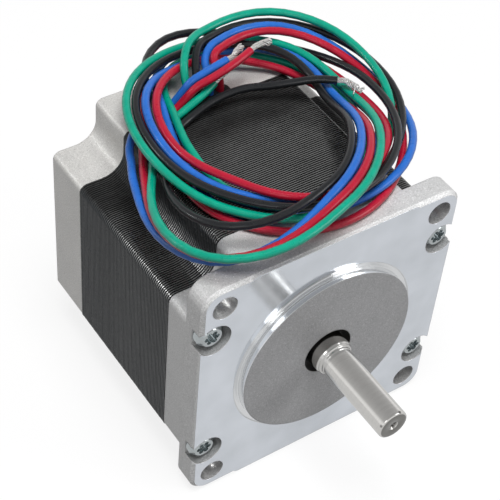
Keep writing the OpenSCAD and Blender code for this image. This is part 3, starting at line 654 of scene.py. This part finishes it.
COIL_HEIGHT = {
    "green": [35.6, 34.9, 32.8, 29.2, 29.2, 29.2, 31.2, 31.3,
              29.2, 29.2, 29.2, 31.5, 31.5, 31.4, 33.3, 34.4,
              32.6, 31.6, 31.6, 35.3, 35.9, 33.8, 29.7, 29.1],
    "black": [35.8, 32.8, 31.6, 30.8, 29.2, 30.6, 31.2, 32,
              31.2, 28.8, 32.1, 33.6, 33.4, 33, 33.3, 34.4,
              32.9, 32.7, 31.4, 35.3, 35.9, 33, 29.3, 29.5],
    "blue": [35.6, 33.8, 28.9, 31.2, 29.2, 29.2, 29.6, 31.6,
             30, 29.2, 29.2, 33.6, 31.9, 32.4, 33.3, 34.6,
             31.3, 31.3, 31.6, 35.3, 35.9, 29.3, 27.6, 29.1],
    "red": [35.6, 34.2, 30.3, 29.2, 29.2, 29.2, 31.2, 30.9,
            29.1, 29.2, 29.2, 33.2, 33.6, 33.7, 33.3, 34.4,
            32.6, 29.8, 29.8, 34.9, 35.9, 31.2, 28.6, 29.1],
}
EXIT_ROUTE = {
    "green": [(-3.6, 45.1, 30.9), (-3.4, 46.5, 32.9), (-2.3, 48.7, 35.1), (0.3, 51.6, 36),
              (3.6, 53.7, 35.8)],
    "black": [(-1.2, 45, 31.2), (-1, 46.3, 33.2), (0.2, 48.5, 34.8), (2.1, 50.7, 35.4),
              (4.2, 52, 35.2)],
    "blue": [(1.2, 45, 31), (1.3, 46.1, 32.8), (1.9, 47.9, 34.2), (3.4, 49.3, 35)],
    "red": [(3.6, 44.9, 30.6), (3.4, 45.4, 32.2), (3.2, 46.2, 33.8), (3.5, 47.2, 34.9)],
}
TAIL_ROUTE = {
    "green": [(-15, 37.4, 29.1), (-12.2, 39.6, 29.1), (-8.8, 40.9, 29.3), (-5.4, 41.3, 30.6),
              (-2.2, 41.9, 31.6), (1, 42.9, 32.6)],
    "black": [(-13.6, 36.1, 29.1), (-10.4, 38, 29.1), (-7, 39.3, 29.4), (-3, 40, 30.4),
              (1.6, 40.3, 31.1), (6.2, 39.8, 31.4), (10.6, 38, 31.6), (14.8, 35.7, 32.5),
              (18.2, 33.4, 33.5), (21.2, 31, 33.8)],
    "blue": [(-20.2, 38.4, 28.5), (-17.3, 41.6, 29.1), (-13.6, 43.8, 29.1), (-9.6, 45, 29.02),
             (-7.1, 45, 29.1), (-5.2, 44.6, 31.4), (-3.4, 44.2, 33.7), (-0.9, 43.8, 35),
             (2.1, 43.9, 35.7), (4.4, 44.1, 36)],
    "red": [(-17.2, 38.6, 29.1), (-13.4, 41.6, 29.1), (-9.8, 43.1, 29.05), (-7.3, 43.2, 29.2),
            (-5.2, 42.9, 31.4), (-3.2, 42.5, 33.5), (0.2, 41.9, 35.1), (4.2, 42.3, 35.9),
            (7, 43, 36.2), (9.6, 43.9, 36.4)],
}
STRAND_ROUTE = {
    "green": [(3.8, 43.8, 33.2), (6.4, 45.1, 33.5)],
    "black": [(22.8, 28.8, 33.9), (23.7, 26.3, 33.7)],
    "blue": [(6.8, 44.9, 36.3), (8.9, 45.9, 36.5)],
    "red": [(12.6, 44.5, 36.6), (14.6, 44.4, 36.6)],
}
WIRES = 7                       # bare wires round the one in the middle
WIRE_SIDES = 6
TWIST_L = 3.6                   # length in which the bare wires go once round
LOOSE_WIRES = {"black": 4}      # how many fan out at a lead's end; one where a lead isn't named


def blended(table, place):
    """Value of a table at a place between two entries, on a smooth curve through all of them."""
    k = min(math.floor(place), len(table) - 2)
    f = place - k
    a, b, c, d = table[max(k - 1, 0)], table[k], table[k + 1], table[min(k + 2, len(table) - 1)]
    return ((2 * f**3 - 3 * f**2 + 1) * b + (f**3 - 2 * f**2 + f) * (c - a) / 2
            + (3 * f**2 - 2 * f**3) * c + (f**3 - f**2) * (d - b) / 2)


def coil_point(name, angle):
    place = angle / COIL_STEP
    reach, height = blended(COIL_REACH[name], place), blended(COIL_HEIGHT[name], place)
    a = math.radians(angle)
    return Vector((COIL_CENTRE[0] + reach * math.sin(a), COIL_CENTRE[1] + reach * math.cos(a),
                   height))


def coil_heading(name, angle):
    return (coil_point(name, angle + 1) - coil_point(name, angle - 1)).normalized()


def rounded(points, step=0.8):
    """A smooth line through the points (centripetal), with one point every step or so."""
    points = [Vector(p) for p in points]
    ends = [2 * points[0] - points[1]] + points + [2 * points[-1] - points[-2]]
    line = []
    for a, b, c, d in zip(ends, ends[1:], ends[2:], ends[3:]):
        t0, t1 = 0.0, math.sqrt((b - a).length)
        t2 = t1 + math.sqrt((c - b).length)
        t3 = t2 + math.sqrt((d - c).length)
        count = max(1, round((c - b).length / step))
        for k in range(count):
            t = t1 + (t2 - t1) * k / count
            p = ((t1 - t) * a + (t - t0) * b) / (t1 - t0)
            q = ((t2 - t) * b + (t - t1) * c) / (t2 - t1)
            r = ((t3 - t) * c + (t - t2) * d) / (t3 - t2)
            u = ((t2 - t) * p + (t - t0) * q) / (t2 - t0)
            v = ((t3 - t) * q + (t - t1) * r) / (t3 - t1)
            line.append(((t2 - t) * u + (t - t1) * v) / (t2 - t1))
    return line + [points[-1]]


def lead_line(name, index):
    x, top = (index - 1.5) * GROMMET_PITCH, BELL_W / 2 + GROMMET_LIP
    start, end = coil_point(name, COIL_FIRST), coil_point(name, COIL_LAST)
    way_out = rounded([(x, GROMMET_Y, top - LEAD_D), (x, GROMMET_Y, top + LEAD_D / 2),
                       *EXIT_ROUTE[name], start - LEAD_D * coil_heading(name, COIL_FIRST), start])
    turns = [coil_point(name, angle) for angle in range(COIL_FIRST + 5, COIL_LAST, 5)]
    way_in = rounded([end, end + LEAD_D * coil_heading(name, COIL_LAST), *TAIL_ROUTE[name]])
    return way_out + turns + way_in


def line_length(line):
    return sum((b - a).length for a, b in zip(line, line[1:]))


def frames(line):
    """At each point of a line: the point, and two directions across the line that don't twist."""
    across = None
    for k, point in enumerate(line):
        heading = (line[min(k + 1, len(line) - 1)] - line[max(k - 1, 0)]).normalized()
        if across is None:
            across = heading.orthogonal()
        else:
            across = across - across.dot(heading) * heading
        across.normalize()
        yield point, across.copy(), heading.cross(across)


def add_tube(verts, faces, line, radius, sides):
    """Adds a closed tube along a line to the lists."""
    first = len(verts)
    for point, a, b in frames(line):
        for c in range(sides):
            t = 2 * math.pi * c / sides
            verts.append(tuple(point + radius * (math.cos(t) * a + math.sin(t) * b)))
    for k in range(len(line) - 1):
        for c in range(sides):
            d = (c + 1) % sides
            p, q = first + k * sides, first + (k + 1) * sides
            faces.append((p + c, p + d, q + d, q + c))
    faces.append(tuple(first + c for c in reversed(range(sides))))
    faces.append(tuple(first + (len(line) - 1) * sides + c for c in range(sides)))


def bend_aside(path, sway):
    """Bends the outer part of a wire aside by sway at its end, and a little down."""
    keep = int(len(path) * 0.45)
    aim = (path[keep] - path[keep - 1]).normalized()
    side = aim.cross(Vector((0, 0, 1))).normalized()
    for k in range(keep, len(path)):
        far = (k - keep) / (len(path) - keep)
        path[k] = path[k] + side * sway * far * far + Vector((0, 0, -0.35 * far * far))


def make_strands(name, line):
    """Bare wires twisted round one in the middle, with a few loose ones at the end."""
    verts, faces = [], []
    chance = random.Random(name)
    end, before = line[-1], line[-2]
    heading = (end - before).normalized()
    middle = rounded([end - 1.2 * heading, end, end + LEAD_D * heading, *STRAND_ROUTE[name]], 0.12)
    loose = LOOSE_WIRES.get(name, 1)
    twist = 2 * math.pi * line_length(middle) / TWIST_L
    for wire in range(WIRES + 1):
        spread = 0.0 if wire == WIRES else STRAND_D * 1.15
        curl = chance.uniform(-0.3, 0.3)
        path = []
        for k, (point, a, b) in enumerate(frames(middle)):
            share = k / (len(middle) - 1)
            turn = twist * share + 2 * math.pi * wire / WIRES + curl * share
            out = spread * (1 + 0.35 * share)
            path.append(point + out * (1.2 * math.cos(turn) * a + 0.85 * math.sin(turn) * b))
        if wire < loose:
            bend_aside(path, wire - (loose - 1) / 2 + 0.3)
        add_tube(verts, faces, path, STRAND_D / 2, WIRE_SIDES)
    piece = new_piece(f"{name}_strands", verts, faces, "stator", "tinned_copper", smooth=True)
    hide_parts(f"{name}_lead_strands")
    return piece


def make_lead(name, index):
    line = lead_line(name, index)
    curve = bpy.data.curves.new(f"{name}_lead", "CURVE")
    curve.dimensions = "3D"
    curve.bevel_depth = LEAD_D / 2 * MM
    curve.bevel_resolution = 4
    curve.use_fill_caps = True
    spline = curve.splines.new("POLY")
    spline.points.add(len(line) - 1)
    for point, at in zip(spline.points, line):
        point.co = (*(at * MM), 1)
    spline.use_smooth = True
    curve.materials.append(materials[f"{name}_insulation"])
    piece = bpy.data.objects.new(f"{name}_lead", curve)
    bpy.context.scene.collection.objects.link(piece)
    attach(piece, "stator")
    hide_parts(f"{name}_lead_exit", f"{name}_lead_coil", f"{name}_lead_tail")
    strands = make_strands(name, line)
    line_length(line) * MM


for index, name in enumerate(LEADS):
    make_lead(name, index)


# World, floor and lamps

def make_world():
    """White to the camera; reflections see it white all round and darker overhead."""
    world = bpy.data.worlds.new("studio")
    bpy.context.scene.world = world
    world.use_nodes = True
    nodes = Nodes(world.node_tree)
    background = nodes.tree.nodes["Background"]
    background.inputs["Color"].default_value = (1, 1, 1, 1)
    place = nodes.add("ShaderNodeTexCoord").outputs["Generated"]
    height = nodes.add("ShaderNodeSeparateXYZ", place).outputs["Z"]
    overhead = nodes.span(height, 0.26, 0.5, 1.0, 0.54)
    overhead = nodes.span(height, 0.5, 1.0, overhead, 0.42)
    direct = nodes.span(nodes.from_camera(), 0.0, 1.0, overhead, 1.0)
    strength = nodes.span(nodes.seen_directly(), 0.0, 1.0, 0.12, direct)
    nodes.tree.links.new(strength, background.inputs["Strength"])


def make_floor():
    """White to the camera apart from the motor's shadow, and darker in reflections."""
    mesh = bpy.data.meshes.new("floor")
    size = 3.0
    mesh.from_pydata([(-size, -size, 0), (size, -size, 0), (size, size, 0), (-size, size, 0)],
                     [], [(0, 1, 2, 3)])
    floor = bpy.data.objects.new("floor", mesh)
    floor.location.z = (FLOOR_Z - 0.05) * MM
    bpy.context.scene.collection.objects.link(floor)
    look = Look("floor", grey(0.16), 0.9)
    look.set("Emission Color", (1, 1, 1, 1))
    glow = look.span(look.from_camera(), 0.0, 1.0, 0.55, 0.82)
    look.set("Emission Strength", look.times(look.seen_directly(), glow))
    mesh.materials.append(look.material)


def make_lamp(name, place, size, watts):
    """White area lamp that faces the middle of the mounting face."""
    data = bpy.data.lights.new(name, "AREA")
    data.shape = "RECTANGLE"
    data.size, data.size_y = size
    data.energy = watts
    lamp = bpy.data.objects.new(name, data)
    lamp.location = place
    lamp.rotation_mode = "QUATERNION"
    lamp.rotation_quaternion = (-Vector(place)).to_track_quat("-Z", "Y")
    bpy.context.scene.collection.objects.link(lamp)
    return lamp


make_world()
make_floor()
top_lamp = make_lamp("top", (-0.05, -0.12, 0.78), size=(0.4, 0.4), watts=6.4)
top_lamp.visible_glossy = False     # its mirror image would leave a ragged streak on the shaft
make_lamp("edge", (-0.65, 0.5, 0.4), size=(0.1, 0.16), watts=0.85)
make_lamp("left", (-0.55, -0.5, 0.45), size=(0.25, 0.25), watts=0.5)
make_lamp("right", (0.55, -0.5, 0.4), size=(0.3, 0.4), watts=1.4)

bpy.context.scene.view_settings.view_transform = "Standard"
